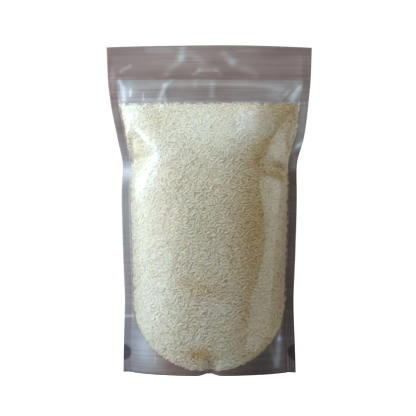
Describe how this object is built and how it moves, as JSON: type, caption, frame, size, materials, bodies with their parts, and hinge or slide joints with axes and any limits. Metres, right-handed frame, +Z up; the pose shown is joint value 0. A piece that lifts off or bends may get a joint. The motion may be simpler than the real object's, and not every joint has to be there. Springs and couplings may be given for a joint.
{
  "type": "bag of rice",
  "caption": "Clear stand-up pouch filled with raw long-grain white rice, with a flat header, a press-to-close zip and welded sides; it stands on its opened bottom.",
  "frame": {"origin": "middle of the base, on the surface that the pouch stands on", "axes": "+Z up along the pouch's height, +X to the right seen from the front, and the front faces -Y"},
  "size_m": [0.1812, 0.064, 0.288],
  "materials": {
    "film": "clear glossy laminated film, smoky where two films are welded, with white rice right behind it",
    "zip": "translucent extruded plastic",
    "rice": "raw polished long-grain rice, ivory white, faintly waxy"
  },
  "bodies": {
    "root": {"pouch": "film", "zip_tongue": "zip", "zip_hooks": "zip"}
  },
  "joints": []
}
